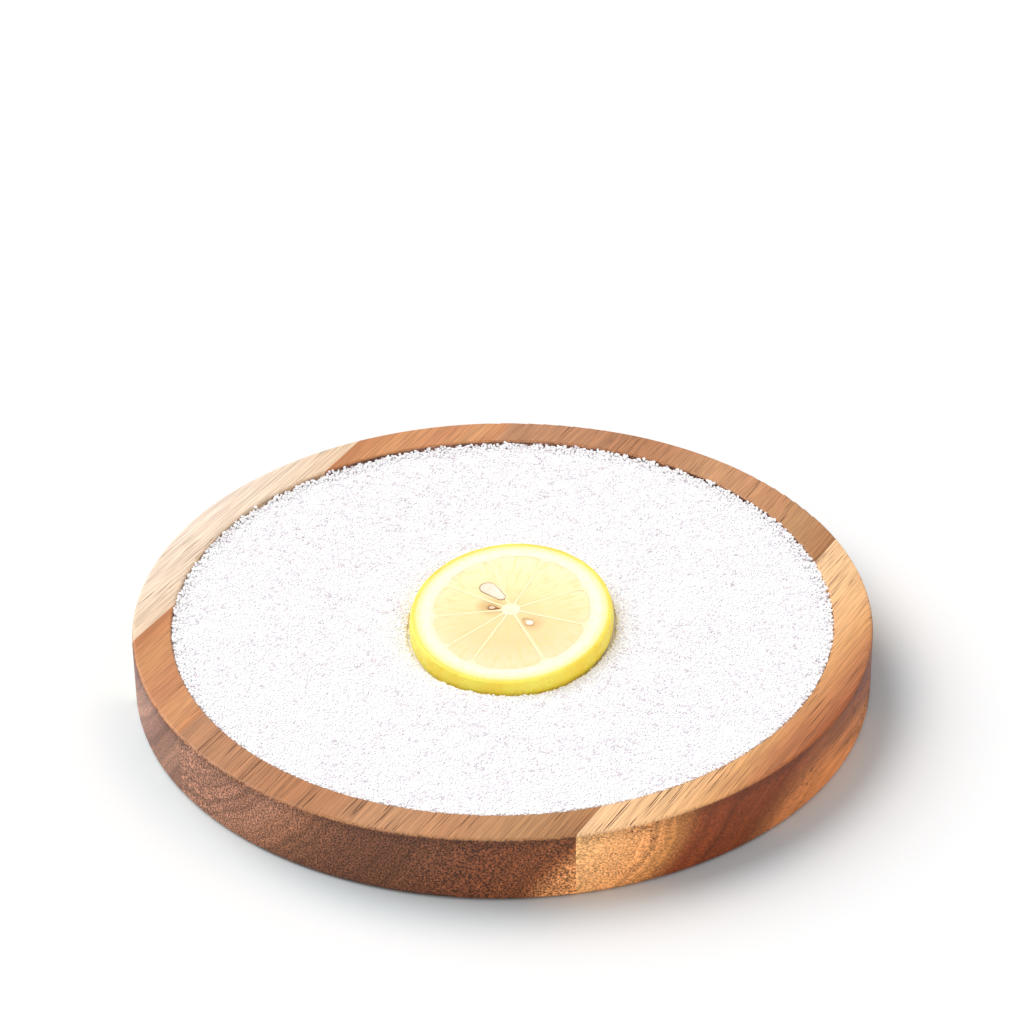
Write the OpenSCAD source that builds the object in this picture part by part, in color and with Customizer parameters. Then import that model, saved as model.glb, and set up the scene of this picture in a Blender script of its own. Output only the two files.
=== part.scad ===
// Round rimmer for cocktail glasses: a turned tray of four edge-glued hardwood staves, its recess
// full of salt, with a cut lemon slice lying on the salt.
// The origin is the middle of the flat underside. +Z is up, and -Y is the front. Millimetres.

/* [Tray] */
// Outer diameter of the tray
tray_d = 200; // [170:1:240]
// Height of the tray, from the table to its flat rim
tray_h = 19; // [17:0.5:25]
// Width of the flat rim round the recess
rim_w = 10.6; // [8:0.2:15]
// Wood left under the recess
floor_t = 7; // [5:0.5:8]
// Radius of the cove where the recess wall meets its floor
cove_r = 5; // [2:0.5:6]
// Rounding of the rim's outer edge
rim_round = 1; // [0.4:0.1:2]
// Bevel of the recess mouth
mouth_bevel = 0.5; // [0.2:0.1:1]
// Rounding of the edge that stands on the table
foot_round = 1.5; // [0.5:0.1:3]

/* [Staves] */
// Direction of the grain and the glue lines, anticlockwise from +X
grain_angle = 60.5; // [0:0.5:180]
// Glue line between the edge stave and the left stave, across the grain from the middle
edge_joint = -80.5; // [-84:0.5:-62]
// Glue line between the left stave and the centre stave
left_joint = -46; // [-60:0.5:-20]
// Glue line between the centre stave and the right stave
right_joint = 64; // [20:0.5:84]

/* [Salt] */
// Depth of the levelled salt below the rim, on average
salt_drop = 1.2; // [0.9:0.1:2.5]
// How much higher the salt stands at the front than at the back
salt_rise = 1.5; // [0:0.1:1.8]
// Height of the mounds that levelling leaves
mound_h = 0.35; // [0:0.05:0.5]
// Distance from one mound to the next
mound_w = 44; // [30:1:60]
// Width of the heap that carries the raised side of the slice
heap_w = 26; // [12:1:34]
// Gap between the salt and the wood
salt_gap = 0.1; // [0.05:0.05:0.3]

/* [Lemon slice] */
// Width of the slice over its peel
slice_w = 53.8; // [46:0.2:62]
// Length of the slice over its peel, front to back
slice_l = 62.4; // [50:0.2:68]
// Thickness of the slice
slice_t = 5.2; // [4:0.1:8]
// Turn of the slice's long axis from the +Y direction
slice_turn = -11; // [-90:1:90]
// Middle of the slice, to the right of the tray's middle
slice_x = 2.5; // [-12:0.5:12]
// Middle of the slice, behind the tray's middle
slice_y = -5.3; // [-12:0.1:12]
// Slope of the slice, which lies higher at the back
slice_tilt = 3; // [0:0.5:4]
// Depth of its front edge in the salt
slice_sink = 1.7; // [0.5:0.1:2.5]
// Gap between the slice and the salt under it
seat_gap = 0.3; // [0.2:0.05:0.5]

/* [Peel and pith] */
// Thickness of the yellow peel
peel_t = 1.6; // [1:0.1:2.4]
// How much wider the peel is at its lower edge than at its upper edge
peel_flare = 0.4; // [0:0.1:1]
// Bulge of the peel's side
peel_bulge = 0.35; // [0:0.05:0.8]
// Thickness of the white pith under the peel
pith_t = 4.3; // [3:0.1:6]
// Thickness of the membrane between two segments
membrane_t = 0.6; // [0.4:0.05:1]
// Radius of the pith at the core
core_r = 2.6; // [2:0.1:3.4]
// Place of the core, to the right of the slice's middle
core_x = -0.2; // [-2:0.1:2]
// Place of the core, behind the slice's middle
core_y = 1; // [-2:0.1:2]

/* [Segments and seeds] */
// How far the cut pulp lies below the cut pith
pulp_drop = 0.15; // [0.05:0.05:0.4]
// Share of its radius that a segment loses at its rounded corners
corner_loss = 0.07; // [0:0.01:0.2]
// Length of a seed
seed_l = 8.6; // [7:0.1:9.5]
// Thickness of a seed at its round end
seed_d = 4.6; // [3.6:0.1:5.2]
// Gap between a seed and the pulp round it
seed_gap = 0.05; // [0.02:0.01:0.1]

/* [Hidden] */
// Direction of each membrane from the core, anticlockwise from the slice's right
MEMBRANES = [25, 67, 104, 147.5, 188, 223, 245, 291, 340];
// Each seed: direction from the core, distance of its round end, depth, share of the full size,
// lean of its tip away from the core, and share of the round end's radius that the tip has
SEEDS = [[122, 11.4, 0.8, 1.08, 8, 0.6], [170, 5.3, 1, 0.56, 0, 0.3], [310, 7.8, 1.75, 0.9, 0, 0.3]];
seed_steps = 8;
SEGMENTS = len(MEMBRANES);

tray_r = tray_d / 2;
recess_r = tray_r - rim_w;
bed_r = recess_r - salt_gap;
half_w = slice_w / 2;
half_l = slice_l / 2;
pulp_in = peel_t + pith_t;
// Overshoot of a cutting shape past the faces that it cuts
over = 1;
// The salt lies lowest at this side of the tray
low_side = 115;
// The mounds lie along two crossing directions, and fade out at the wall
mound_dirs = [20, 100];
mound_shift = [75, 200];
// Salt drawn up the side of the peel
salt_lip = 0.4;
// Sectors round the salt and the peel, and rings across the open salt and its cove
sectors = 96;
open_rings = 14;
cove_rings = 3;
peel_rings = 4;
// Points along a segment's rounded end, to either side of its middle
arc_steps = 8;
// Least width of a segment where it starts at the core
apex_w = 0.4;
$fn = 96;

// ---- tray ----

// What rounding removes from an outside corner at the origin, whose material lies towards -x and -y
module corner_waste(r) {
    difference() {
        translate([-r, -r]) square(r + over);
        translate([-r, -r]) circle(r);
    }
}

// Half section of the recess, with the cove that a round-nosed cutter leaves
module recess_section() {
    difference() {
        translate([-over, floor_t]) square([recess_r + over, tray_h]);
        translate([recess_r, floor_t]) mirror([0, 1]) corner_waste(cove_r);
    }
}

// Half section of the tray
module tray_section() {
    difference() {
        square([tray_r, tray_h]);
        recess_section();
        translate([tray_r, tray_h]) corner_waste(rim_round);
        translate([tray_r, 0]) mirror([0, 1]) corner_waste(foot_round);
        translate([recess_r, tray_h]) rotate(45) square(mouth_bevel * sqrt(2), center = true);
    }
}

// One stave: the turned tray between two glue lines
module stave(from, to) {
    intersection() {
        rotate_extrude() tray_section();
        rotate([0, 0, grain_angle - 90])
            translate([from, -tray_d, -over]) cube([to - from, 2 * tray_d, tray_h + 2 * over]);
    }
}

module edge_stave() {
    color("#EBCB9A") stave(-tray_d, edge_joint);
}

module left_stave() {
    color("#C08450") stave(edge_joint, left_joint);
}

module centre_stave() {
    color("#B5825A") stave(left_joint, right_joint);
}

module right_stave() {
    color("#DDA465") stave(right_joint, tray_d);
}

// ---- salt ----

function along(a) = [cos(a), sin(a)];
// Distance from a point, in the direction of a, to a circle or an oval round the origin
function reach_circle(p, a, r) = let (b = p * along(a)) -b + sqrt(b * b - p * p + r * r);
function reach_oval(p, a, rx, ry) =
    let (d = along(a), s = [1 / (rx * rx), 1 / (ry * ry)])
    let (qa = d.x * d.x * s.x + d.y * d.y * s.y)
    let (qb = p.x * d.x * s.x + p.y * d.y * s.y)
    let (qc = p.x * p.x * s.x + p.y * p.y * s.y - 1)
    (sqrt(qb * qb - qa * qc) - qb) / qa;
function turned(p, a) = [p.x * cos(a) - p.y * sin(a), p.x * sin(a) + p.y * cos(a)];
// Distance from a point of the slice to the slice's edge drawn in by inset
function reach_slice(p, a, inset) =
    reach_oval(turned(p, -slice_turn), a - slice_turn, half_w - inset, half_l - inset);

function mound(p, i) = sin(360 * (p * along(mound_dirs[i])) / mound_w + mound_shift[i]);
function level(p) =
    let (edge = min(1, norm(p) / recess_r))
    tray_h - salt_drop - salt_rise / 2 * (p * along(low_side)) / recess_r
    + mound_h * (1 - edge ^ 4) * mound(p, 0) * mound(p, 1);

slice_mid = [slice_x, slice_y];
slice_front = slice_mid - [0, half_l];
// Height of the middle of the slice's underside
slice_z = level(slice_front) - slice_sink + half_l * tan(slice_tilt);
function underside(p) = slice_z + (p.y - slice_mid.y) * tan(slice_tilt);

// The salt's surface, at distance d from the slice's middle in direction a
function dip_r(a) = reach_slice([0, 0], a, -peel_flare - peel_bulge - seat_gap);
function heap_top(a) =
    let (p = slice_mid + dip_r(a) * along(a))
    max(0, underside(p) + salt_lip - level(p));
function salt_top(a, d) =
    let (p = slice_mid + d * along(a), t = min(1, (d - dip_r(a)) / heap_w))
    [p.x, p.y, level(p) + heap_top(a) * (1 + cos(180 * t)) / 2];
function dip(a, d) = let (p = slice_mid + d * along(a)) [p.x, p.y, underside(p) - seat_gap];
function open_ring(a, k) =
    let (near = dip_r(a) + seat_gap, far = reach_circle(slice_mid, a, bed_r))
    salt_top(a, near + (far - near) * k / open_rings);
// The side of the bed under its edge, which follows the cove with t from 0 at the wall to 1 at the floor
function cove_ring(a, t) =
    let (w = slice_mid + reach_circle(slice_mid, a, bed_r) * along(a))
    let (r = bed_r - cove_r * (1 - cos(90 * t)))
    [w.x * r / bed_r, w.y * r / bed_r, floor_t + cove_r * (1 - sin(90 * t))];
function bed_rings(a) = concat(
    [dip(a, dip_r(a) / 2), dip(a, dip_r(a))],
    [for (k = [0:open_rings]) open_ring(a, k)],
    [for (k = [0:cove_rings]) cove_ring(a, k / cove_rings)]
);

// Closes rings of n points each with a first and a last point; the rings run from the first to the last
module closed_rings(first, rings, last) {
    n = len(rings[0]);
    m = len(rings);
    points = concat([first], [for (ring = rings) each ring], [last]);
    end = len(points) - 1;
    polyhedron(points, concat(
        [for (i = [0:n - 1]) [0, 1 + (i + 1) % n, 1 + i]],
        [for (k = [0:m - 2], i = [0:n - 1])
            let (a = 1 + k * n + i, b = 1 + k * n + (i + 1) % n)
            each [[a, b, b + n], [a, b + n, a + n]]],
        [for (i = [0:n - 1]) [end, end - n + i, end - n + (i + 1) % n]]
    ));
}

module salt_bed() {
    by_sector = [for (i = [0:sectors - 1]) bed_rings(360 * i / sectors)];
    rings = [for (k = [0:len(by_sector[0]) - 1]) [for (s = by_sector) s[k]]];
    color("#F4F1F3")
        closed_rings(dip(0, 0), rings, [0, 0, floor_t]);
}

// ---- lemon slice ----

// Puts a piece of the slice, drawn with its underside on the plane z = 0, in its place on the salt
module on_salt() {
    translate([slice_mid.x, slice_mid.y, slice_z]) rotate([slice_tilt, 0, 0]) children();
}

function slice_outline(inset) =
    [for (i = [0:sectors - 1]) let (a = 360 * i / sectors) reach_slice([0, 0], a, inset) * along(a)];

// A ring whose side flares and bulges, as the skin of a fruit does beside a cut
module lemon_peel() {
    function out(t) = peel_flare * (1 - t) + peel_bulge * 4 * t * (1 - t);
    levels = [for (k = [0:peel_rings]) k / peel_rings];
    sides = [for (t = levels) [for (p = slice_outline(-out(t))) [p.x, p.y, slice_t * t]]];
    inner = slice_outline(peel_t);
    loop = concat(
        [[for (p = inner) [p.x, p.y, 0]]],
        sides,
        [[for (p = inner) [p.x, p.y, slice_t]]]
    );
    n = sectors;
    m = len(loop);
    color("#F7D93C")
        on_salt()
            polyhedron([for (ring = loop) each ring], [for (k = [0:m - 1], i = [0:n - 1])
                let (a = k * n + i, b = k * n + (i + 1) % n)
                let (c = (k + 1) % m * n + (i + 1) % n, d = (k + 1) % m * n + i)
                each [[a, c, b], [a, d, c]]]);
}

core = [core_x, core_y];
function mid_dir(i) = (MEMBRANES[i] + next_dir(i)) / 2;
function next_dir(i) = i < SEGMENTS - 1 ? MEMBRANES[i + 1] : MEMBRANES[0] + 360;
function half_span(i) = (next_dir(i) - MEMBRANES[i]) / 2;
function pulp_r(a) = reach_slice(core, a, pulp_in);

// One wedge of pulp: straight sides half a membrane from its neighbours' borders, and a rounded end
function segment_outline(i) =
    let (mid = mid_dir(i), span = half_span(i), skin = membrane_t / 2)
    let (start = max(core_r, (skin + apex_w / 2) / sin(span)))
    let (reach = pulp_r(mid + span) * (1 - corner_loss), wide = span - asin(skin / reach))
    let (narrow = span - asin(skin / start))
    concat(
        [for (s = [-1, 0, 1]) core + start * along(mid + s * narrow)],
        [for (k = [arc_steps:-1:-arc_steps])
            let (s = k / arc_steps, a = mid + s * wide)
            core + pulp_r(a) * (1 - corner_loss * s ^ 8) * along(a)]
    );

// Half the outline of a seed: its round end at the origin, its tip the given way off
function seed_outline(round_r, tip_r, apart) =
    let (slope = asin((round_r - tip_r) / apart))
    concat(
        [for (k = [0:seed_steps]) round_r * along(-90 + k / seed_steps * (90 + slope))],
        [for (k = [0:seed_steps]) [0, apart] + tip_r * along(slope + k / seed_steps * (90 - slope))]
    );

// A seed lying in the slice with its tip towards the core, made larger all round by grow
module seed(i, grow = 0) {
    dir = SEEDS[i][0];
    size = SEEDS[i][3];
    round_r = size * seed_d / 2;
    tip_r = SEEDS[i][5] * round_r;
    place = core + SEEDS[i][1] * along(dir);
    translate([place.x, place.y, slice_t - SEEDS[i][2]])
        rotate([0, 0, dir + SEEDS[i][4] + 90])
            rotate([-90, 0, 0])
                rotate_extrude()
                    polygon(seed_outline(round_r + grow, tip_r + grow, size * seed_l - round_r - tip_r));
}

module lemon_pith() {
    color("#FFFBF0")
        on_salt() difference() {
            linear_extrude(slice_t) difference() {
                polygon(slice_outline(peel_t));
                for (i = [0:SEGMENTS - 1]) polygon(segment_outline(i));
            }
            for (i = [0:len(SEEDS) - 1]) seed(i, seed_gap);
        }
}

module lemon_segment(i) {
    color("#F9E6A4")
        on_salt() difference() {
            linear_extrude(slice_t - pulp_drop) polygon(segment_outline(i));
            for (k = [0:len(SEEDS) - 1]) seed(k, seed_gap);
        }
}

// The knife that cut the slice also cut the seeds that lie across its upper face
module lemon_seed(i) {
    color("#F3E3C4")
        on_salt() intersection() {
            seed(i);
            translate([-half_l, -half_l, 0]) cube([slice_l, slice_l, slice_t]);
        }
}

edge_stave();
left_stave();
centre_stave();
right_stave();
salt_bed();
lemon_peel();
lemon_pith();
for (i = [1:SEGMENTS]) {
    lemon_segment(i - 1);
}
for (i = [1:len(SEEDS)]) {
    lemon_seed(i - 1);
}
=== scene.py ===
"""Dresses a round rimmer for cocktail glasses: an acacia tray full of salt, with a lemon slice on it.

Lengths in the classes are millimetres. They become metres where a mesh, a light or a camera is made.
"""

from __future__ import annotations

import logging
import math
from dataclasses import dataclass
from enum import Enum
from typing import Any

import bpy
from mathutils import Euler, Matrix, Vector


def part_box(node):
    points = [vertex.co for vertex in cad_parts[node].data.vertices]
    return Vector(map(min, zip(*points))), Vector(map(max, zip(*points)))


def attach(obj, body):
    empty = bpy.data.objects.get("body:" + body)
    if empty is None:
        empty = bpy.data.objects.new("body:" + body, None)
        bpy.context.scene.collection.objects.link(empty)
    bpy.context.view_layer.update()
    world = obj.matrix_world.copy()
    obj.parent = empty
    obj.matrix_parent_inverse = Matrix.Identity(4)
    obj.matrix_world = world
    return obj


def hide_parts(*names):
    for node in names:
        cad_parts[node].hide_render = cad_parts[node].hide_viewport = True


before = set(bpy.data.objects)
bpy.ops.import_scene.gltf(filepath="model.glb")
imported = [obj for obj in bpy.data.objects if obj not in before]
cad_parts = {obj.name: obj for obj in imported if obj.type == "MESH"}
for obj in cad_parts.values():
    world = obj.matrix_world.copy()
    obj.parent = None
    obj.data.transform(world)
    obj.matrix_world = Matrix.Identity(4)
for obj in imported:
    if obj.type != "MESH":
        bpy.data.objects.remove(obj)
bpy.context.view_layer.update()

log = logging.getLogger("rimmer")

MM = 0.001


class Body(Enum):
    """The bodies of the frame that pieces ride on."""

    TRAY = "tray"
    SLICE = "lemon_slice"


class Slot(Enum):
    """Names of material slots, which new pieces are given in settle but which nothing reads."""

    SALT = "salt"
    PEEL = "peel"
    PULP = "pulp"
    SEED = "seed"


# ---- Colours and node trees ----


def linear(hex_colour: str) -> tuple[float, float, float, float]:
    """Turns an sRGB colour into Blender's linear one.

    Args:
        hex_colour: The colour, as "#RRGGBB".

    Returns:
        Red, green, blue and an alpha of 1.
    """
    parts = [int(hex_colour[i : i + 2], 16) / 255 for i in (1, 3, 5)]
    red, green, blue = (c / 12.92 if c <= 0.04045 else ((c + 0.055) / 1.055) ** 2.4 for c in parts)
    return red, green, blue, 1.0


@dataclass(frozen=True)
class Graph:
    """A node tree that is being written."""

    tree: bpy.types.NodeTree

    def add(
        self,
        kind: str,
        inputs: dict[int | str, Any] | None = None,
        stops: list[tuple[float, str]] | None = None,
        **settings: Any,
    ) -> bpy.types.Node:
        """Adds a node with its settings and links.

        Args:
            kind: Blender's name for the node.
            inputs: What each input gets, as in feed.
            stops: The places and colours of a colour ramp.
            settings: The node's own properties.

        Returns:
            The new node.
        """
        node = self.tree.nodes.new(kind)
        for name, value in settings.items():
            setattr(node, name, value)
        self.feed(node, inputs or {})
        if stops:
            ramp = node.color_ramp
            while len(ramp.elements) < len(stops):
                ramp.elements.new(1.0)
            for element, (place, colour) in zip(ramp.elements, stops):
                element.position, element.color = place, linear(colour)
        return node

    def feed(self, node: bpy.types.Node, inputs: dict[int | str, Any]) -> None:
        """Sets or links the inputs of a node.

        Args:
            node: The node.
            inputs: What each input gets: a value, a socket to link, or a node whose first output is linked.
        """
        for key, value in inputs.items():
            source = value.outputs[0] if isinstance(value, bpy.types.Node) else value
            if isinstance(source, bpy.types.NodeSocket):
                self.tree.links.new(source, node.inputs[key])
            else:
                node.inputs[key].default_value = source


def new_material(name: str) -> tuple[bpy.types.Material, Graph, bpy.types.Node]:
    """Makes a material with a Principled shader.

    Args:
        name: The material's name.

    Returns:
        The material, its graph and its shader.
    """
    material = bpy.data.materials.new(name)
    material.use_nodes = True
    material.node_tree.nodes.clear()
    graph = Graph(material.node_tree)
    shader = graph.add("ShaderNodeBsdfPrincipled")
    graph.add("ShaderNodeOutputMaterial", {"Surface": shader})
    return material, graph, shader


def in_millimetres(graph: Graph, turn: float = 0.0, at: Vector | None = None) -> bpy.types.Node:
    """Gives a pattern the object's own coordinates in millimetres.

    Args:
        graph: The tree that the pattern is in.
        turn: Angle that the pattern is turned by round Z, in radians.
        at: The place of the pattern's origin, in metres, where it isn't the object's.

    Returns:
        A node whose first output is the coordinates.
    """
    place = graph.add("ShaderNodeTexCoord").outputs["Object"]
    if at is not None:
        place = graph.add("ShaderNodeVectorMath", {0: place, 1: at}, operation="SUBTRACT")
    return graph.add(
        "ShaderNodeMapping", {"Vector": place, "Rotation": (0, 0, turn), "Scale": (1 / MM,) * 3}
    )


# ---- Finishes ----


@dataclass(frozen=True)
class Ring:
    """The colours of a board at one distance from the heart of its tree.

    Attributes:
        far: The distance from the heart.
        top: Colour on the rim.
        side: Colour on the outer side, which mostly cuts the fibres and so soaks up more oil.
    """

    far: float
    top: str
    side: str


@dataclass(frozen=True)
class AcaciaHeart:
    """Oiled, sanded acacia, as one board shows it: straight streaks, open pores and speckled end grain.

    Attributes:
        name: The material's name.
        heart: Place of the tree's heart, across the grain and above the table, which the rings run round.
        rings: The board's colours, from the heart outwards.
        line: Colour of the thin streaks.
        pore: Colour of the open pores.
        line_share: How much of the surface the thin streaks cover.
        pore_share: How much of the surface the pores cover.
        speckle: Contrast of the end grain's speckles.
        seed: Offset of the board's own figure.
        seam: Place of the glued joint, across the grain, along which a pale painted highlight is drawn on
            the rim.
    """

    name: str
    heart: tuple[float, float]
    rings: tuple[Ring, ...]
    line: str
    pore: str
    line_share: float
    pore_share: float
    speckle: float
    seed: float
    seam: float | None = None

    GRAIN_ANGLE = math.radians(60.5)
    RIM = 19.0
    RIM_EDGE = (0.15, 0.7)
    END_GRAIN = (0.08, 0.5)
    BEND, BEND_LENGTH, BEND_WIDTH = 12.0, 120.0, 30.0
    BAND, BAND_CONTRAST = 2.2, 0.3
    STREAK, STREAK_LENGTH = 0.7, 70.0
    STREAK_LEVEL, STREAK_FADE, STREAK_STRENGTH = 0.66, 0.14, 0.8
    FIBRE, FIBRE_LENGTH, FIBRE_CONTRAST = 0.46, 14.0, 0.26
    PORE, PORE_LENGTH = 0.32, 18.0
    PORE_GROUP, PORE_GROUP_LENGTH, PORE_GROUP_PULL = 5.0, 60.0, 0.45
    PORE_LEVELS = (0.92, 0.99)
    # Painted shade on the sides under the rim: its darkest share, the depth where it fades out and the
    # depth where it is darkest.
    SHADE, SHADE_DEPTH, SHADE_START = 0.72, 4.0, 1.0
    SEAM, SEAM_COLOUR, SEAM_STRENGTH, SEAM_END = 0.22, "#F4D9AE", 0.6, 0.3

    def material(self) -> bpy.types.Material:
        """Builds the board's material.

        Returns:
            The material.
        """
        material, graph, shader = new_material(self.name)
        place = in_millimetres(graph, -self.GRAIN_ANGLE)
        radius = self._radius(graph, self._bent(graph, place))
        side = self._side(graph)
        end = self._end_grain(graph, side)
        colour = self._ringed_colour(graph, place, radius, side)
        colour = self._streaks(graph, place, radius, colour)
        colour = self._fibres(graph, place, end, colour)
        colour, pores = self._pores(graph, place, colour)
        # A painted highlight along the glued joint, on the rim only.
        if self.seam is not None:
            colour = self._joint_highlight(graph, place, side, colour)
        graph.feed(shader, {"Base Color": colour})
        self._surface(graph, shader, pores)
        return material

    def _stretched(
        self, graph: Graph, place: bpy.types.Node, along: float, across: float, shift: float
    ) -> bpy.types.Node:
        """Squeezes coordinates so that a noise of scale 1 gets spots of this length and width."""
        shifts, scales = (self.seed + shift, shift, self.seed), (1 / along, 1 / across, 1 / across)
        return graph.add("ShaderNodeMapping", {"Vector": place, "Location": shifts, "Scale": scales})

    def _bent(self, graph: Graph, place: bpy.types.Node) -> bpy.types.Node:
        """Bends the bands a little along the board, because no tree is straight.

        Args:
            graph: The material's tree.
            place: Coordinates along the grain.

        Returns:
            The bent coordinates.
        """
        slow = self._stretched(graph, place, self.BEND_LENGTH, self.BEND_WIDTH, shift=3.7)
        noise = graph.add("ShaderNodeTexNoise", {"Vector": slow, "Scale": 1.0, "Detail": 2.0})
        centre, reach = (0.5, 0.5, 0.5), (0, self.BEND, self.BEND)
        push = graph.add(
            "ShaderNodeVectorMath", {0: noise.outputs["Color"], 1: centre}, operation="SUBTRACT"
        )
        push = graph.add("ShaderNodeVectorMath", {0: push, 1: reach}, operation="MULTIPLY")
        return graph.add("ShaderNodeVectorMath", {0: place, 1: push}, operation="ADD")

    def _radius(self, graph: Graph, bent: bpy.types.Node) -> bpy.types.NodeSocket:
        """Measures the distance from the tree's heart.

        Args:
            graph: The material's tree.
            bent: The bent coordinates.

        Returns:
            The distance, in millimetres.
        """
        flat = graph.add("ShaderNodeVectorMath", {0: bent, 1: (0, 1, 1)}, operation="MULTIPLY")
        heart = (0, -self.heart[0], self.heart[1])
        return graph.add("ShaderNodeVectorMath", {0: flat, 1: heart}, operation="DISTANCE").outputs["Value"]

    def _side(self, graph: Graph) -> bpy.types.Node:
        """Tells the sides from the rim.

        Args:
            graph: The material's tree.

        Returns:
            The measure of the sides, 1 there and 0 on the rim.
        """
        height = graph.add("ShaderNodeSeparateXYZ", {0: in_millimetres(graph)}).outputs["Z"]
        rim, side = (self.RIM - drop for drop in self.RIM_EDGE)
        return graph.add(
            "ShaderNodeMapRange",
            {"Value": height, "From Min": rim, "From Max": side},
            interpolation_type="SMOOTHSTEP",
        )

    def _end_grain(self, graph: Graph, side: bpy.types.Node) -> bpy.types.Node:
        """Measures how squarely a side cuts the fibres.

        Args:
            graph: The material's tree.
            side: The measure of the sides.

        Returns:
            The measure, from 0 along the fibres to 1 across them.
        """
        along = (math.cos(self.GRAIN_ANGLE), math.sin(self.GRAIN_ANGLE), 0)
        normal = graph.add("ShaderNodeNewGeometry").outputs["Normal"]
        facing = graph.add(
            "ShaderNodeVectorMath", {0: normal, 1: along}, operation="DOT_PRODUCT"
        ).outputs["Value"]
        square = graph.add("ShaderNodeMath", {0: facing, 1: facing}, operation="MULTIPLY")
        cuts = graph.add(
            "ShaderNodeMapRange",
            {"Value": square, "From Min": self.END_GRAIN[0], "From Max": self.END_GRAIN[1]},
            interpolation_type="SMOOTHSTEP",
        )
        return graph.add("ShaderNodeMath", {0: cuts, 1: side}, operation="MULTIPLY")

    def _ringed(
        self, graph: Graph, place: bpy.types.Node, radius: bpy.types.NodeSocket, along: float, width: float
    ) -> bpy.types.Node:
        """Gives coordinates that run along the board and across its growth bands.

        Args:
            graph: The material's tree.
            place: Coordinates along the grain.
            radius: The distance from the heart.
            along: Length of a spot, in millimetres.
            width: Width of a spot, in millimetres.

        Returns:
            The coordinates.
        """
        parts = graph.add("ShaderNodeSeparateXYZ", {0: place})
        length = graph.add("ShaderNodeMath", {0: parts.outputs["X"], 1: 1 / along}, operation="MULTIPLY")
        across = graph.add("ShaderNodeMath", {0: radius, 1: 1 / width}, operation="MULTIPLY")
        return graph.add("ShaderNodeCombineXYZ", {"X": length, "Y": across, "Z": self.seed})

    def _ringed_colour(
        self, graph: Graph, place: bpy.types.Node, radius: bpy.types.NodeSocket, side: bpy.types.Node
    ) -> bpy.types.Node:
        """Colours the growth rings, on the rim and on the sides, which are banded and carry painted shade
        under the rim.

        Args:
            graph: The material's tree.
            place: Coordinates along the grain.
            radius: The distance from the heart.
            side: The measure of the sides.

        Returns:
            The colour.
        """
        first, last = self.rings[0].far, self.rings[-1].far
        share = graph.add("ShaderNodeMapRange", {"Value": radius, "From Min": first, "From Max": last})
        places = [(ring.far - first) / (last - first) for ring in self.rings]
        top, lower = (
            graph.add("ShaderNodeValToRGB", {0: share}, stops=list(zip(places, colours)))
            for colours in ([ring.top for ring in self.rings], [ring.side for ring in self.rings])
        )
        # Painted shade: the sides darken towards the rim's edge, just below it.
        height = graph.add("ShaderNodeSeparateXYZ", {0: in_millimetres(graph)}).outputs["Z"]
        under = {"From Min": self.RIM - self.SHADE_DEPTH, "From Max": self.RIM - self.SHADE_START}
        shade = graph.add(
            "ShaderNodeMapRange",
            {"Value": height, **under, "To Min": 1.0, "To Max": self.SHADE},
            interpolation_type="SMOOTHSTEP",
        )
        ringed = self._ringed(graph, place, radius, self.STREAK_LENGTH, self.BAND)
        bands = graph.add("ShaderNodeTexNoise", {"Vector": ringed, "Scale": 1.0, "Detail": 2.0})
        reach = {"To Min": 1 - self.BAND_CONTRAST, "To Max": 1 + self.BAND_CONTRAST}
        swing = graph.add("ShaderNodeMapRange", {"Value": bands, "From Min": 0.3, "From Max": 0.7, **reach})
        shade = graph.add("ShaderNodeMath", {0: shade, 1: swing}, operation="MULTIPLY")
        lower = graph.add("ShaderNodeVectorMath", {0: lower, "Scale": shade.outputs[0]}, operation="SCALE")
        return graph.add("ShaderNodeMixRGB", {"Fac": side, "Color1": top, "Color2": lower})

    def _streaks(
        self, graph: Graph, place: bpy.types.Node, radius: bpy.types.NodeSocket, colour: bpy.types.Node
    ) -> bpy.types.Node:
        """Draws the thin streaks along the grain.

        Args:
            graph: The material's tree.
            place: Coordinates along the grain.
            radius: The distance from the heart.
            colour: The colour so far.

        Returns:
            The streaked colour.
        """
        ringed = self._ringed(graph, place, radius, self.STREAK_LENGTH, self.STREAK)
        noise = graph.add(
            "ShaderNodeTexNoise", {"Vector": ringed, "Scale": 1.0, "Detail": 4.0, "Roughness": 0.7}
        )
        level = self.STREAK_LEVEL - self.line_share / 2
        reach = {"From Min": level, "From Max": level + self.STREAK_FADE, "To Max": self.STREAK_STRENGTH}
        much = graph.add("ShaderNodeMapRange", {"Value": noise, **reach}, interpolation_type="SMOOTHSTEP")
        return graph.add("ShaderNodeMixRGB", {"Fac": much, "Color1": colour, "Color2": linear(self.line)})

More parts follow.
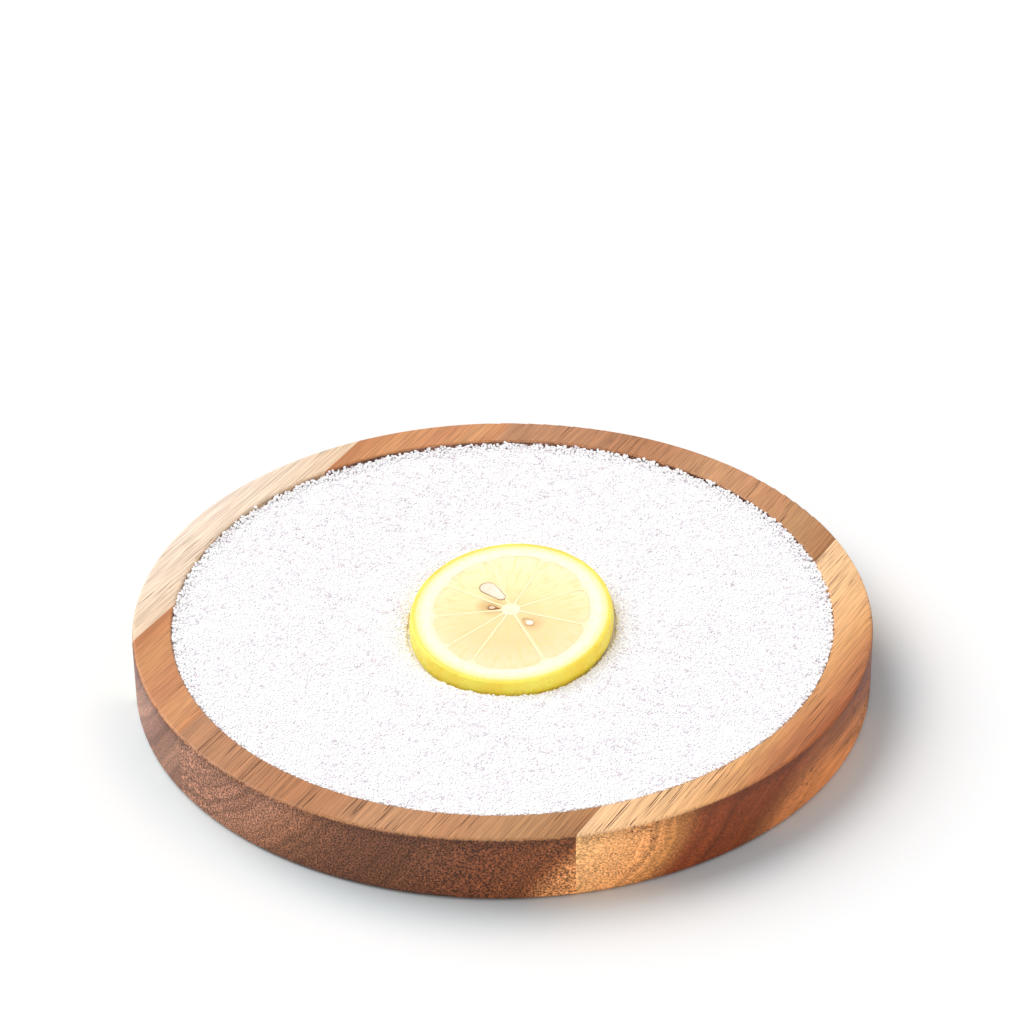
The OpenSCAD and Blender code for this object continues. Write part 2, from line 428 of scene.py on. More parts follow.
    def _fibres(
        self, graph: Graph, place: bpy.types.Node, end: bpy.types.Node, colour: bpy.types.Node
    ) -> bpy.types.Node:
        """Lays fine fibres over the colours, which end in speckles on the end grain.

        They are drawn about twice as wide as real ones, because those are too fine to show.

        Args:
            graph: The material's tree.
            place: Coordinates along the grain.
            end: The measure of the end grain.
            colour: The colour so far.

        Returns:
            The colour with its fibres.
        """
        fine = self._stretched(graph, place, self.FIBRE_LENGTH, self.FIBRE, shift=11.0)
        noise = graph.add(
            "ShaderNodeTexNoise", {"Vector": fine, "Scale": 1.0, "Detail": 2.0, "Roughness": 0.5}
        )
        contrast = {"To Min": self.FIBRE_CONTRAST, "To Max": self.speckle}
        reach = graph.add("ShaderNodeMapRange", {"Value": end, **contrast})
        skewed = {"From Min": 0.38, "From Max": 0.7, "To Min": -0.5, "To Max": 1.2}
        signed = graph.add("ShaderNodeMapRange", {"Value": noise, **skewed})
        lift = graph.add("ShaderNodeMath", {0: signed, 1: reach}, operation="MULTIPLY")
        factor = graph.add("ShaderNodeMath", {0: lift, 1: 1.0}, operation="ADD")
        return graph.add("ShaderNodeVectorMath", {0: colour, "Scale": factor.outputs[0]}, operation="SCALE")

    def _pores(
        self, graph: Graph, place: bpy.types.Node, colour: bpy.types.Node
    ) -> tuple[bpy.types.Node, bpy.types.Node]:
        """Opens pores in groups: dark dashes on the long grain and dots on the end grain.

        Args:
            graph: The material's tree.
            place: Coordinates along the grain.
            colour: The colour so far.

        Returns:
            The colour with its pores, and the measure of the pores.
        """
        small = self._stretched(graph, place, self.PORE_LENGTH, self.PORE, shift=23.0)
        large = self._stretched(graph, place, self.PORE_GROUP_LENGTH, self.PORE_GROUP, shift=31.0)
        dashes = graph.add("ShaderNodeTexNoise", {"Vector": small, "Scale": 1.0})
        groups = graph.add("ShaderNodeTexNoise", {"Vector": large, "Scale": 1.0, "Detail": 1.0})
        pulled = {0: groups, 1: self.PORE_GROUP_PULL, 2: dashes}
        together = graph.add("ShaderNodeMath", pulled, operation="MULTIPLY_ADD")
        low, high = (level - self.pore_share for level in self.PORE_LEVELS)
        pores = graph.add(
            "ShaderNodeMapRange",
            {"Value": together, "From Min": low, "From Max": high},
            interpolation_type="SMOOTHSTEP",
        )
        mixed = graph.add("ShaderNodeMixRGB", {"Fac": pores, "Color1": colour, "Color2": linear(self.pore)})
        return mixed, pores

    def _joint_highlight(
        self, graph: Graph, place: bpy.types.Node, side: bpy.types.Node, colour: bpy.types.Node
    ) -> bpy.types.Node:
        """Draws a thin pale line along the glued joint beside the board, on the rim only: a painted
        highlight.

        Args:
            graph: The material's tree.
            place: Coordinates along the grain.
            side: The measure of the sides.
            colour: The colour so far.

        Returns:
            The colour with the painted highlight.
        """
        across = graph.add("ShaderNodeSeparateXYZ", {0: place}).outputs["Y"]
        gap = graph.add("ShaderNodeMath", {0: across, 1: self.seam}, operation="ADD")
        near = graph.add("ShaderNodeMath", {0: gap, 1: 0.0, 2: self.SEAM}, operation="COMPARE")
        fading = {"From Max": self.SEAM_END, "To Min": self.SEAM_STRENGTH, "To Max": 0.0}
        shown = graph.add("ShaderNodeMapRange", {"Value": side, **fading})
        much = graph.add("ShaderNodeMath", {0: near, 1: shown}, operation="MULTIPLY")
        return graph.add(
            "ShaderNodeMixRGB", {"Fac": much, "Color1": colour, "Color2": linear(self.SEAM_COLOUR)}
        )

    def _surface(self, graph: Graph, shader: bpy.types.Node, pores: bpy.types.Node) -> None:
        """Gives the oiled wood its satin gloss, duller in the pores, which are shallow grooves.

        Args:
            graph: The material's tree.
            shader: The material's shader.
            pores: The measure of the pores.
        """
        rough = graph.add("ShaderNodeMapRange", {"Value": pores, "To Min": 0.48, "To Max": 0.72})
        bump = graph.add(
            "ShaderNodeBump", {"Height": pores, "Strength": 0.6, "Distance": 0.08 * MM}, invert=True
        )
        graph.feed(shader, {"Roughness": rough, "Normal": bump, "IOR": 1.48, "Specular IOR Level": 0.3})


@dataclass(frozen=True)
class TableSalt:
    """Cube salt: clear halite crystals whose many faces scatter light, so that a heap looks white; greyer
    crystals carry painted shade specks.
    """

    white: str = "#FFFEFF"
    # Painted shade at the edges of the bed's grains.
    shade: str = "#FAF8FB"
    # The clear and the dark crystals are greyer than white: painted shade specks, standing for the shadows
    # between grains.
    clear: str = "#F2EAF0"
    dark: str = "#E6DDE5"
    ior: float = 1.544
    grain: float = 0.55

    def bed(self) -> bpy.types.Material:
        """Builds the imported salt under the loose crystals.

        Returns:
            The material.
        """
        material, graph, shader = new_material("packed_salt")
        place = in_millimetres(graph)
        grains = graph.add("ShaderNodeTexVoronoi", {"Vector": place, "Scale": 1 / self.grain}, feature="F1")
        # Painted shade: the bed turns a little greyer towards the edges of its grains.
        colour = graph.add(
            "ShaderNodeValToRGB", {0: grains}, stops=[(0.25, self.white), (0.85, self.shade)]
        )
        bump = graph.add(
            "ShaderNodeBump", {"Height": grains, "Strength": 0.7, "Distance": 0.3 * MM}, invert=True
        )
        graph.feed(shader, {"Base Color": colour, "Normal": bump, "Roughness": 0.6, "IOR": self.ior})
        return material

    def crystal(self, name: str, colour: str) -> bpy.types.Material:
        """Builds the material of loose crystals.

        Args:
            name: The material's name.
            colour: Their colour.

        Returns:
            The material.
        """
        material, graph, shader = new_material(name)
        gloss = {"Roughness": 0.35, "IOR": self.ior, "Specular IOR Level": 0.3}
        graph.feed(shader, {"Base Color": linear(colour), **gloss})
        return material


@dataclass(frozen=True)
class Share:
    """Places on the cut face of a slice, as shares of the way from its middle to its outline.

    Attributes:
        middle: The middle of the slice, in metres.
        turn: The slice's turn round Z, in radians.
        reach: Half the slice's width and half its length, in millimetres.
    """

    middle: Vector
    turn: float
    reach: tuple[float, float]

    def measure(self, graph: Graph) -> bpy.types.NodeSocket:
        """Measures the share: 0 in the middle and 1 on the outline.

        Args:
            graph: The material's tree.

        Returns:
            The share.
        """
        local = in_millimetres(graph, -self.turn, self.middle)
        shares = (1 / self.reach[0], 1 / self.reach[1], 0)
        flat = graph.add("ShaderNodeVectorMath", {0: local, 1: shares}, operation="MULTIPLY")
        return graph.add("ShaderNodeVectorMath", {0: flat}, operation="LENGTH").outputs["Value"]


@dataclass(frozen=True)
class LemonZest:
    """The waxy outer skin of a lemon, with its oil glands, which turns pale where the knife cut it."""

    bright: str = "#FFE760"
    deep: str = "#FFD642"
    gland: str = "#F8C72C"
    edge: str = "#FFEE90"
    inner: str = "#FFF4B8"
    spacing: float = 1.25
    patch: float = 9.0

    def material(self, share: Share) -> bpy.types.Material:
        """Builds the peel's material.

        Args:
            share: Where the slice's outline runs, beside which the zest fades into the pith.

        Returns:
            The material.
        """
        material, graph, shader = new_material("lemon_zest")
        place = in_millimetres(graph)
        glands = graph.add(
            "ShaderNodeTexVoronoi", {"Vector": place, "Scale": 1 / self.spacing}, feature="SMOOTH_F1"
        )
        patches = graph.add("ShaderNodeTexNoise", {"Vector": place, "Scale": 1 / self.patch, "Detail": 2.0})
        skin = graph.add("ShaderNodeValToRGB", {0: patches}, stops=[(0.35, self.bright), (0.7, self.deep)])
        near = graph.add(
            "ShaderNodeMapRange", {"Value": glands, "From Min": 0.32, "From Max": 0.08, "To Max": 0.3}
        )
        skin = graph.add("ShaderNodeMixRGB", {"Fac": near, "Color1": skin, "Color2": linear(self.gland)})
        across = share.measure(graph)
        faded = graph.add(
            "ShaderNodeValToRGB", {0: across}, stops=[(0.935, self.inner), (0.965, self.edge)]
        )
        outside = graph.add("ShaderNodeMapRange", {"Value": across, "From Min": 0.945, "From Max": 0.978})
        colour = graph.add("ShaderNodeMixRGB", {"Fac": outside, "Color1": faded, "Color2": skin})
        bump = graph.add("ShaderNodeBump", {"Height": glands, "Strength": 0.35, "Distance": 0.15 * MM})
        graph.feed(
            shader,
            {
                "Base Color": colour,
                "Normal": bump,
                "Roughness": 0.38,
                "IOR": 1.45,
                "Subsurface Weight": outside,
                "Subsurface Radius": (1.0, 0.9, 0.6),
                "Subsurface Scale": 0.8 * MM,
            },
        )
        return material


@dataclass(frozen=True)
class LemonPith:
    """Albedo, the white spongy layer of a citrus fruit: matt, dense and faintly fibrous."""

    white: str = "#FFFDEE"
    cream: str = "#FFFAE2"
    membrane: str = "#FFF9D6"
    outer: str = "#FFF3B4"
    core: str = "#FFFAE2"
    sponge: float = 1.6

    def material(self, share: Share) -> bpy.types.Material:
        """Builds the material of the pith and the membranes.

        Args:
            share: Where the membranes, the pith and the zest lie on the cut face.

        Returns:
            The material.
        """
        material, graph, shader = new_material("lemon_pith")
        place = in_millimetres(graph)
        sponge = graph.add("ShaderNodeTexNoise", {"Vector": place, "Scale": 1 / self.sponge, "Detail": 4.0})
        white = graph.add("ShaderNodeValToRGB", {0: sponge}, stops=[(0.38, self.cream), (0.55, self.white)])
        zones = [
            (0.08, self.core),
            (0.14, self.membrane),
            (0.76, self.membrane),
            (0.83, self.white),
            (0.88, self.white),
            (0.945, self.outer),
        ]
        tint = graph.add("ShaderNodeValToRGB", {0: share.measure(graph)}, stops=zones)
        colour = graph.add(
            "ShaderNodeMixRGB", {"Fac": 1.0, "Color1": white, "Color2": tint}, blend_type="MULTIPLY"
        )
        bump = graph.add("ShaderNodeBump", {"Height": sponge, "Strength": 0.2, "Distance": 0.12 * MM})
        graph.feed(
            shader,
            {
                "Base Color": colour,
                "Normal": bump,
                "Roughness": 0.55,
                "Subsurface Weight": 0.1,
                "Subsurface Radius": (1.0, 0.98, 0.9),
                "Subsurface Scale": 1.0 * MM,
            },
        )
        return material


@dataclass(frozen=True)
class LemonPulp:
    """Juice sacs: thin clear skins full of juice, wet where the knife opened them.

    Attributes:
        back: Colour at the slice's rear, the palest of the painted light across the cut face.
        middle: Colour half-way.
        front: Colour at its front, the most peach of the painted light across the cut face.
        heart: Colour beside the core, within the two distances of heart_reach.
        rim: Colour beside the pith, between the two distances of rim_reach.
        edge: Colour between the sacs.
        stain: Colour beside a seed.
        stain_shift: Place of the stain's middle, as a share of the seed's distance from the core.
        stain_reach: How far the stain reaches from there.
        reach: How far the pulp reaches from the core, to the front and to the rear.
    """

    back: str = "#FFFCC4"
    middle: str = "#FFEAB2"
    front: str = "#FFD9A2"
    heart: str = "#FFDDA0"
    heart_reach: tuple[float, float] = (3.0, 10.0)
    rim: str = "#FFF8D0"
    rim_reach: tuple[float, float] = (14.0, 23.0)
    edge: str = "#FAE09C"
    stain: str = "#C98238"
    stain_shift: float = 1.3
    stain_reach: float = 5.4
    reach: float = 24.0

    def material(self, core: Vector, seeds: list[Vector]) -> bpy.types.Material:
        """Builds the pulp's material.

        Args:
            core: The place of the slice's core, in metres.
            seeds: The places of the seeds, whose colour shows through the pulp beside them.

        Returns:
            The material.
        """
        material, graph, shader = new_material("lemon_pulp")
        place = in_millimetres(graph, at=core)
        along = graph.add("ShaderNodeSeparateXYZ", {0: place}).outputs["Y"]
        far = graph.add("ShaderNodeVectorMath", {0: place}, operation="LENGTH").outputs["Value"]
        ends = {"From Min": -self.reach, "From Max": self.reach}
        # Painted light: the cut face runs from peach at the front to pale at the rear.
        colour = graph.add(
            "ShaderNodeValToRGB",
            {0: graph.add("ShaderNodeMapRange", {"Value": along, **ends})},
            stops=[(0.1, self.front), (0.5, self.middle), (0.9, self.back)],
        )
        reaches = (self.heart_reach, self.rim_reach)
        inner, outer = ({"From Min": low, "From Max": high} for low, high in reaches)
        sacs = sac_pattern(graph, place)
        washes = (
            ({"Value": far, **inner, "To Min": 0.6, "To Max": 0.0}, self.heart),
            ({"Value": far, **outer, "To Max": 0.5}, self.rim),
            ({"Value": sacs, "From Min": 0.3, "From Max": 0.8, "To Max": 0.6}, self.edge),
        )
        for strength, tint in washes:
            much = graph.add("ShaderNodeMapRange", strength)
            colour = graph.add("ShaderNodeMixRGB", {"Fac": much, "Color1": colour, "Color2": linear(tint)})
        for seed in seeds:
            middle = self.stain_shift * (seed - core) / MM
            gap = graph.add(
                "ShaderNodeVectorMath", {0: place, 1: middle}, operation="DISTANCE"
            ).outputs["Value"]
            near = graph.add(
                "ShaderNodeMapRange",
                {"Value": gap, "From Min": self.stain_reach, "From Max": 1.0, "To Max": 0.55},
                interpolation_type="SMOOTHSTEP",
            )
            colour = graph.add(
                "ShaderNodeMixRGB", {"Fac": near, "Color1": colour, "Color2": linear(self.stain)}
            )
        graph.feed(
            shader,
            {
                "Base Color": colour,
                "Roughness": 0.22,
                "IOR": 1.36,
                "Subsurface Weight": 0.35,
                "Subsurface Radius": (1.0, 0.9, 0.6),
                "Subsurface Scale": 1.5 * MM,
            },
        )
        return material


@dataclass(frozen=True)
class SeedCoat:
    """A lemon seed: a tough tan coat round a cream kernel."""

    name: str
    coat: str
    kernel: str
    vein: str
    cloud: float = 1.1

    def shell(self) -> bpy.types.Material:
        """Builds the material of the coat."""
        return self._mottled(f"{self.name}_coat", self.coat, self.coat, 0.3)

    def inside(self) -> bpy.types.Material:
        """Builds the material of the kernel."""
        return self._mottled(f"{self.name}_kernel", self.kernel, self.vein, 0.35)

    def _mottled(self, name: str, main: str, other: str, rough: float) -> bpy.types.Material:
        """Builds a smooth material whose colour varies a little.

        Args:
            name: The material's name.
            main: Its main colour.
            other: The colour that it varies to.
            rough: Its roughness.

        Returns:
            The material.
        """
        material, graph, shader = new_material(name)
        place = in_millimetres(graph)
        cloud = graph.add("ShaderNodeTexNoise", {"Vector": place, "Scale": 1 / self.cloud, "Detail": 3.0})
        colour = graph.add("ShaderNodeValToRGB", {0: cloud}, stops=[(0.4, main), (0.72, other)])
        graph.feed(shader, {"Base Color": colour, "Roughness": rough})
        return material


def sac_pattern(graph: Graph, place: bpy.types.Node) -> bpy.types.NodeSocket:
    """Lays juice sacs out round the slice's core: narrow at the core and wider towards the pith.

    Args:
        graph: A material's tree or a geometry tree.
        place: Coordinates round the core, in millimetres.

    Returns:
        The distance from the middle of the nearest sac.
    """
    sacs_round, sac_length = 96.0, 4.2
    parts = graph.add("ShaderNodeSeparateXYZ", {0: place})
    angle = graph.add("ShaderNodeMath", {0: parts.outputs["Y"], 1: parts.outputs["X"]}, operation="ARCTAN2")
    turns = graph.add("ShaderNodeMath", {0: angle, 1: sacs_round / math.tau}, operation="MULTIPLY")
    far = graph.add("ShaderNodeVectorMath", {0: place}, operation="LENGTH").outputs["Value"]
    rows = graph.add("ShaderNodeMath", {0: far, 1: 1 / sac_length}, operation="MULTIPLY")
    polar = graph.add("ShaderNodeCombineXYZ", {"X": turns, "Y": rows})
    sacs = graph.add(
        "ShaderNodeTexVoronoi",
        {"Vector": polar, "Scale": 1.0, "Randomness": 0.9},
        feature="F1",
        voronoi_dimensions="2D",
    )
    return sacs.outputs["Distance"]


# ---- Modelling tools ----


def deselect() -> None:
    """Leaves nothing selected."""
    for obj in bpy.context.selected_objects:
        obj.select_set(False)


def only(obj: bpy.types.Object) -> None:
    """Makes an object the one that operators act on.

    Args:
        obj: The object.
    """
    deselect()
    obj.select_set(True)
    bpy.context.view_layer.objects.active = obj


def merged_copy(node: str, name: str) -> bpy.types.Object:
    """Copies a CAD node's mesh into a new piece and joins its loose triangles.

    Args:
        node: The CAD node.
        name: The new piece's name.

    Returns:
        The new piece.
    """
    piece = bpy.data.objects.new(name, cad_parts[node].data.copy())
    piece.data.materials.clear()
    bpy.context.scene.collection.objects.link(piece)
    only(piece)
    bpy.ops.object.mode_set(mode="EDIT")
    bpy.ops.mesh.select_all(action="SELECT")
    bpy.ops.mesh.remove_doubles(threshold=0.001 * MM)
    bpy.ops.object.mode_set(mode="OBJECT")
    bpy.ops.mesh.customdata_custom_splitnormals_clear()
    return piece


def remesh(piece: bpy.types.Object, voxel: float, rounds: int = 2) -> None:
    """Gives a piece an even mesh and softens its edges.

    Args:
        piece: The piece.
        voxel: Size of a face, in millimetres.
        rounds: Rounds of smoothing.
    """
    only(piece)
    even = piece.modifiers.new("even", "REMESH")
    even.mode, even.voxel_size, even.use_smooth_shade = "VOXEL", voxel * MM, True
    bpy.ops.object.modifier_apply(modifier=even.name)
    soft = piece.modifiers.new("soft", "SMOOTH")
    soft.factor, soft.iterations = 0.5, rounds
    bpy.ops.object.modifier_apply(modifier=soft.name)


def geometry_graph(name: str) -> tuple[Graph, bpy.types.Node, bpy.types.Node]:
    """Starts a geometry tree.

    Args:
        name: The tree's name.

    Returns:
        The graph, its input node and its output node.
    """
    tree = bpy.data.node_groups.new(name, "GeometryNodeTree")
    for way in ("INPUT", "OUTPUT"):
        tree.interface.new_socket("Geometry", in_out=way, socket_type="NodeSocketGeometry")
    graph = Graph(tree)
    return graph, graph.add("NodeGroupInput"), graph.add("NodeGroupOutput")


def apply_graph(piece: bpy.types.Object, graph: Graph) -> None:
    """Runs a geometry tree on a piece and keeps the result.

    Args:
        piece: The piece.
        graph: The tree.
    """
    only(piece)
    modifier = piece.modifiers.new("shape", "NODES")
    modifier.node_group = graph.tree
    bpy.ops.object.modifier_apply(modifier=modifier.name)


def settle(piece: bpy.types.Object, body: Body, slot: Slot, *nodes: str) -> None:
    """Ties a finished piece to its body and hides the CAD nodes that it stands for.

    Args:
        piece: The piece.
        body: The body that it rides on.
        slot: Not used.
        nodes: The CAD nodes that it replaces.
    """
    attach(piece, body.value)
    if nodes:
        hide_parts(*nodes)
    log.info("%s: %d faces", piece.name, len(piece.data.polygons))


# ---- Sub-assemblies ----


@dataclass
class Tray:
    """The turned tray of four edge-glued staves."""

    edge: AcaciaHeart = AcaciaHeart(
        name="acacia_sapwood",
        heart=(-150.0, -60.0),
        rings=(
            Ring(78, "#E0C3A8", "#DFBC9A"),
            Ring(93, "#EBD5C2", "#E6C7A9"),
            Ring(99, "#E7CDB3", "#E1C09D"),
            Ring(105, "#DFC0A1", "#D4AA83"),
        ),
        line="#B39A80",
        pore="#8C7460",
        line_share=0.12,
        pore_share=0.03,
        speckle=0.30,
        seed=2.0,
    )
    left: AcaciaHeart = AcaciaHeart(
        name="acacia_orange_heartwood",
        heart=(-120.0, 50.0),
        rings=(
            Ring(50, "#B57346", "#93624C"),
            Ring(58, "#C78A59", "#7C5040"),
            Ring(66, "#C07F54", "#AE7E69"),
            Ring(74, "#C98E5E", "#845845"),
            Ring(82, "#BB794D", "#A7775D"),
            Ring(90, "#B37346", "#81543D"),
        ),
        line="#A5683E",
        pore="#7A4A2A",
        line_share=0.08,
        pore_share=-0.01,
        speckle=0.6,
        seed=17.0,
    )
    centre: AcaciaHeart = AcaciaHeart(
        name="acacia_brown_heartwood",
        heart=(-70.0, 80.0),
        rings=(
            Ring(66, "#B6815C", "#9A6B54"),
            Ring(88, "#AE754D", "#A06E54"),
            Ring(96, "#B27A52", "#86563B"),
            Ring(106, "#BF8B62", "#6E432E"),
            Ring(124, "#BB8359", "#6B4029"),
            Ring(136, "#B38358", "#683921"),
            Ring(148, "#A36C40", "#7B4525"),
            Ring(153, "#AC7548", "#D9935B"),
        ),
        line="#74462A",
        pore="#57341F",
        line_share=0.2,
        pore_share=0.04,
        speckle=1.3,
        seed=41.0,
    )
    right: AcaciaHeart = AcaciaHeart(
        name="acacia_honey_heartwood",
        heart=(-15.0, 50.0),
        rings=(
            Ring(84, "#EDBE8E", "#EFB679"),
            Ring(97, "#E8B581", "#ECA263"),
            Ring(102, "#E4AD78", "#C18046"),
            Ring(106, "#D89E66", "#86401D"),
            Ring(112, "#B9784A", "#7D3918"),
            Ring(117, "#9A552E", "#7A3917"),
            Ring(121, "#8E4921", "#A26035"),
            Ring(125, "#B8703F", "#D88549"),
        ),
        line="#86502B",
        pore="#4A2E1C",
        line_share=0.16,
        pore_share=0.05,
        speckle=0.6,
        seed=63.0,
        seam=64.0,
    )

    def build(self) -> None:
        """Dresses the four staves, whose shapes the frame already has."""
        boards = {
            "edge_stave": self.edge,
            "left_stave": self.left,
            "centre_stave": self.centre,
            "right_stave": self.right,
        }
        for node, wood in boards.items():
            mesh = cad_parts[node].data
            mesh.materials.clear()
            mesh.materials.append(wood.material())
            log.info("%s: %s", node, wood.name)


@dataclass
class SaltBed:
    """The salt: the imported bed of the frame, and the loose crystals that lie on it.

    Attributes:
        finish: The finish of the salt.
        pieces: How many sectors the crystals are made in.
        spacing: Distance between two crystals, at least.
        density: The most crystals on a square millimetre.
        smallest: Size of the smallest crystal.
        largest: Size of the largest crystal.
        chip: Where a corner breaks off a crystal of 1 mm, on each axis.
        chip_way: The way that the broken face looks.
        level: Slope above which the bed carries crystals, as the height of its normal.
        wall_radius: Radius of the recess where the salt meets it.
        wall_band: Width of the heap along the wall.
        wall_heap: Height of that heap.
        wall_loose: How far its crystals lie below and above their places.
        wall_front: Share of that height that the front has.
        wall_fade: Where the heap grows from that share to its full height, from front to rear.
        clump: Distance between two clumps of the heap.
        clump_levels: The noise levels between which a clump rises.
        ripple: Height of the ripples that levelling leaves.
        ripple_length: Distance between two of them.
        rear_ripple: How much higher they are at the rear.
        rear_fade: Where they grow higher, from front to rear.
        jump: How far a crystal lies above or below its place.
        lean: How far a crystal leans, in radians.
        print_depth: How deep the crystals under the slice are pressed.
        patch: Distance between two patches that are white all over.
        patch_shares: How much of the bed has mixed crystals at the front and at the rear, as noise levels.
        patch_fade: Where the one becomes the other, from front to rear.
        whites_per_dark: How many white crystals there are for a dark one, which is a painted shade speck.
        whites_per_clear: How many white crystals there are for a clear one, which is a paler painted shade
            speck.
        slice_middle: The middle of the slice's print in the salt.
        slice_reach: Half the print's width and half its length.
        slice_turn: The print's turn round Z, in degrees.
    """

    finish: TableSalt = TableSalt()
    pieces: int = 6
    spacing: float = 0.5
    density: float = 6.0
    smallest: float = 0.5
    largest: float = 0.78
    chip: float = 0.3
    chip_way: tuple[float, float, float] = (1.0, 0.8, 0.9)
    level: float = 0.5
    wall_radius: float = 89.3
    wall_band: float = 4.5
    wall_heap: float = 1.1
    wall_loose: tuple[float, float] = (-0.2, 0.3)
    wall_front: float = 0.15
    wall_fade: tuple[float, float] = (-70.0, 10.0)
    clump: float = 1.5
    clump_levels: tuple[float, float] = (0.36, 0.62)
    ripple: float = 0.2
    ripple_length: float = 2.6
    rear_ripple: float = 3.0
    rear_fade: tuple[float, float] = (20.0, 85.0)
    jump: float = 0.06
    lean: float = 0.3
    print_depth: float = 0.35
    patch: float = 14.0
    patch_shares: tuple[float, float] = (0.52, 0.7)
    patch_fade: tuple[float, float] = (10.0, 80.0)
    whites_per_dark: int = 40
    whites_per_clear: int = 8
    slice_middle: tuple[float, float] = (2.5, -5.3)
    slice_reach: tuple[float, float] = (27.9, 32.2)
    slice_turn: float = -11.0

    def build(self) -> None:
        """Dresses the bed and strews crystals over it."""
        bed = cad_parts["salt_bed"]
        bed.data.materials.clear()
        bed.data.materials.append(self.finish.bed())
        # The clear and dark kinds are painted shade specks.
        kinds = (("white", 0), ("white", 1), ("clear", 1), ("dark", 1))
        colours = {"white": self.finish.white, "clear": self.finish.clear, "dark": self.finish.dark}
        finishes = {kind: self.finish.crystal(f"{kind}_salt", colour) for kind, colour in colours.items()}
        cube, chipped, clear, dark = (
            self._grain(f"grain_{kind}_{chips}", chips, finishes[kind]) for kind, chips in kinds
        )
        some = [clear] + [chipped, cube] * (self.whites_per_clear // 2)
        grains = [dark] + some * (self.whites_per_dark // self.whites_per_clear)
        for part in range(self.pieces):
            self._crystals(part, grains)
        for grain in (cube, chipped, clear, dark):
            bpy.data.objects.remove(grain)

    def _grain(self, name: str, chips: int, finish: bpy.types.Material) -> bpy.types.Object:
        """Models one crystal of 1 mm: a cube, with corners that broke off.

        Args:
            name: The crystal's name.
            chips: How many corners broke off.
            finish: Its material.

        Returns:
            The crystal.
        """
        deselect()
        bpy.ops.mesh.primitive_cube_add(size=1.0 * MM)
        grain = bpy.context.object
        grain.name = name
        bpy.ops.object.mode_set(mode="EDIT")
        for _chip in range(chips):
            bpy.ops.mesh.select_all(action="SELECT")
            bpy.ops.mesh.bisect(
                plane_co=(self.chip * MM,) * 3,
                plane_no=self.chip_way,
                use_fill=True,
                clear_outer=True,
            )
        bpy.ops.object.mode_set(mode="OBJECT")
        grain.data.materials.append(finish)
        return grain

    def _crystals(self, part: int, grains: list[bpy.types.Object]) -> None:
        """Strews the crystals of one sector of the bed.

        Args:
            part: The sector.
            grains: The crystals to strew.
        """
        piece = merged_copy("salt_bed", f"salt_crystals_{part + 1}")
        graph, source, sink = geometry_graph(f"strewn_salt_{part + 1}")
        upward = graph.add("ShaderNodeSeparateXYZ", {0: graph.add("GeometryNodeInputNormal")}).outputs["Z"]
        level = graph.add("ShaderNodeMath", {0: upward, 1: self.level}, operation="GREATER_THAN")
        points = graph.add(
            "GeometryNodeDistributePointsOnFaces",
            {
                "Mesh": source,
                "Selection": level,
                "Distance Min": self.spacing * MM,
                "Density Max": self.density / MM**2,
                "Seed": 5,
            },
            distribute_method="POISSON",
        )
        cubes = graph.add("GeometryNodeJoinGeometry")
        for grain in grains:
            info = graph.add("GeometryNodeObjectInfo", {"Object": grain, "As Instance": True})
            graph.feed(cubes, {0: info.outputs["Geometry"]})
        leans, sizes = (-self.lean, -self.lean, 0.0), (self.lean, self.lean, math.tau)
        spin = graph.add(
            "FunctionNodeRandomValue", {0: leans, 1: sizes, "Seed": 11}, data_type="FLOAT_VECTOR"
        )
        least, most = (self.smallest,) * 3, (self.largest,) * 3
        size = graph.add(
            "FunctionNodeRandomValue", {0: least, 1: most, "Seed": 12}, data_type="FLOAT_VECTOR"
        )
        strewn = graph.add(
            "GeometryNodeInstanceOnPoints",
            {
                "Points": self._raised(graph, points),
                "Selection": self._sector(graph, part),
                "Instance": cubes,
                "Pick Instance": True,
                "Instance Index": self._kind(graph, len(grains)),
                "Rotation": spin,
                "Scale": size,
            },
        )
        graph.feed(sink, {0: graph.add("GeometryNodeRealizeInstances", {0: strewn})})
        apply_graph(piece, graph)
        settle(piece, Body.TRAY, Slot.SALT)

    def _kind(self, graph: Graph, kinds: int) -> bpy.types.Node:
        """Picks the kind of each crystal, so that some patches are white all over, without painted shade
        specks, mostly at the front.

        Args:
            graph: The tree.
            kinds: How many kinds there are. Number 0 is the one that was joined last, a white cube.

        Returns:
            The kind's number.
        """
        place, _far = self._place(graph)
        patches = graph.add("ShaderNodeTexNoise", {"Vector": place, "Scale": 1 / self.patch, "Detail": 3.0})
        rear = self._from_front(graph, place, self.patch_fade, self.patch_shares)
        mixed = graph.add("ShaderNodeMath", {0: patches, 1: rear}, operation="LESS_THAN")
        any_kind = graph.add("FunctionNodeRandomValue", {4: 0, 5: kinds - 1, "Seed": 9}, data_type="INT")
        return graph.add("ShaderNodeMath", {0: any_kind.outputs[2], 1: mixed}, operation="MULTIPLY")

    def _place(self, graph: Graph) -> tuple[bpy.types.Node, bpy.types.NodeSocket]:
        """Measures where a point is.

        Args:
            graph: The tree.

        Returns:
            Its place and its distance from the tray's axis, both in millimetres.
        """
        at = graph.add("GeometryNodeInputPosition")
        place = graph.add("ShaderNodeVectorMath", {0: at, "Scale": 1 / MM}, operation="SCALE")
        flat = graph.add("ShaderNodeVectorMath", {0: place, 1: (1, 1, 0)}, operation="MULTIPLY")
        far = graph.add("ShaderNodeVectorMath", {0: flat}, operation="LENGTH").outputs["Value"]
        return place, far

